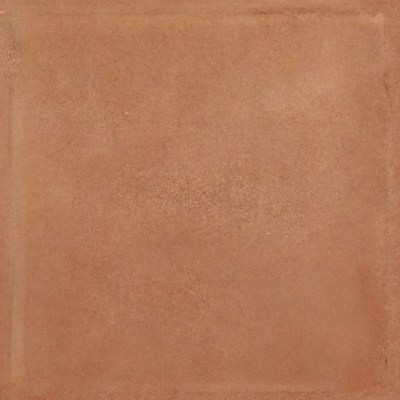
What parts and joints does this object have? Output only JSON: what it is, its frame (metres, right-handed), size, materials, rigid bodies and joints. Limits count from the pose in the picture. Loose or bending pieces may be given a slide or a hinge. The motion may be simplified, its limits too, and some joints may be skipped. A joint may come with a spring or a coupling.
{
  "type": "ceramic floor tile",
  "caption": "Square terracotta floor tile: flat face with a softly raised field inside a worn flat rim, eased edges and a shallow keyed back.",
  "frame": {"origin": "middle of the back, on the plane of the ribs that the tile lies on", "axes": "+Z out of the face, which is the tile's thin direction; X and Y along the two pairs of sides"},
  "size_m": [0.3, 0.3, 0.01],
  "materials": {
    "fired_clay": "matte unglazed terracotta, warm orange-brown with soft cloudy tone, a fine sandy grain, a dark line of dirt along the rim and pale worn edges"
  },
  "bodies": {
    "root": {"tile": "fired_clay"}
  },
  "joints": []
}
